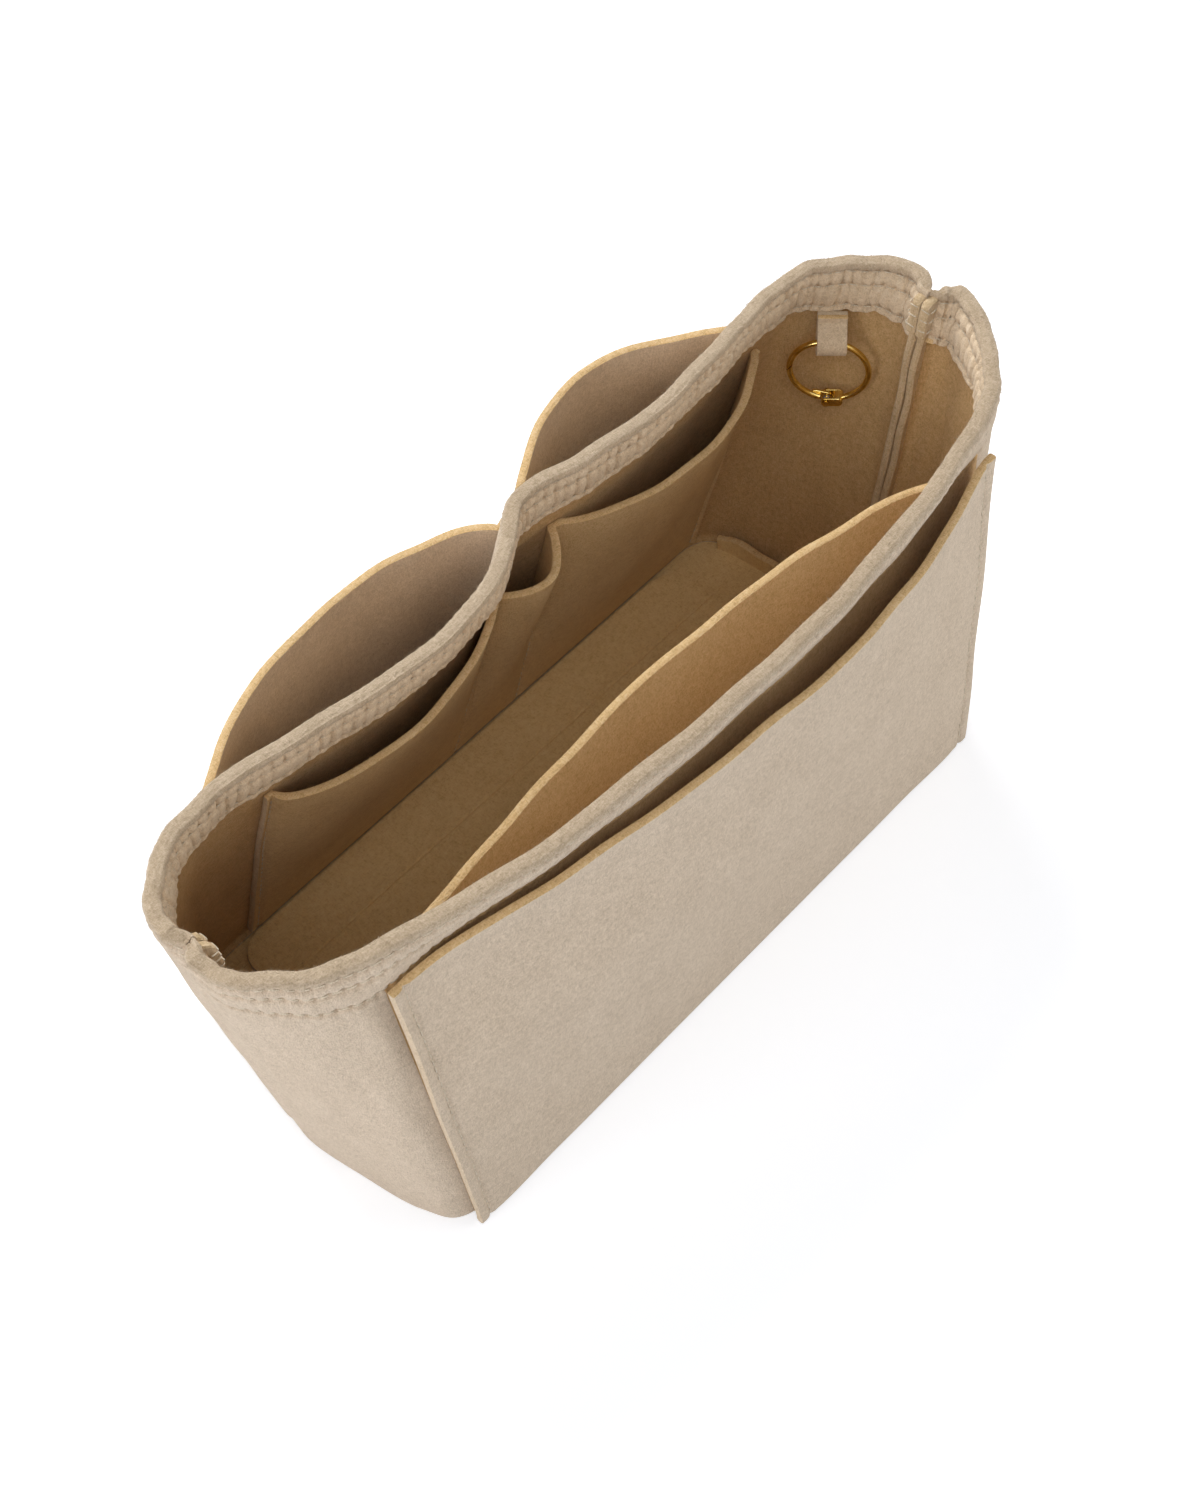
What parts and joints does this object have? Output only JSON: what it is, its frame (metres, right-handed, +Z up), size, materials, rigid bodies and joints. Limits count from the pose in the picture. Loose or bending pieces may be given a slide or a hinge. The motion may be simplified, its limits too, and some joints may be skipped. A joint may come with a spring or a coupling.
{
  "type": "purse organizer insert",
  "caption": "Felt insert that stands in a tote bag and divides it with pockets inside and out, with a key ring on a tab.",
  "frame": {"origin": "middle of the base's underside", "axes": "+X along the insert to the end with the key ring, +Y from the front pocket to the back pockets, +Z up"},
  "size_m": [0.3798, 0.1643, 0.1758],
  "materials": {
    "felt": "matt sheet felt, beige",
    "gold": "polished gold plating",
    "steel": "spring wire"
  },
  "bodies": {
    "tub": {"front_wall": "felt", "back_wall": "felt", "base_panel": "felt", "base_layer": "felt", "front_pocket": "felt", "back_pocket": "felt", "inner_front_pocket": "felt", "inner_back_pocket": "felt"},
    "tab": {"key_tab": "felt"},
    "ring": {"ring_body": "gold", "gate_pin": "gold", "gate_spring": "steel"},
    "gate": {"ring_gate": "gold"}
  },
  "joints": [
    {"name": "tab_fold", "type": "hinge", "parent": "tub", "child": "tab", "pos_m": [0.16624, 0.02417, 0.1527], "axis": [-0.6574, 0.7535, 0], "range_deg": [0, 70]},
    {"name": "ring_swing", "type": "hinge", "parent": "tab", "child": "ring", "pos_m": [0.16511, 0.02319, 0.14163], "axis": [-0.6574, 0.7535, 0], "range_deg": [0, 75]},
    {"name": "gate_open", "type": "hinge", "parent": "ring", "child": "gate", "pos_m": [0.16511, 0.02319, 0.11123], "axis": [0.8377, 0.5462, 0], "range_deg": [0, 35], "stiffness_Nm_per_rad": 0.02, "springref_deg": -45.84}
  ]
}
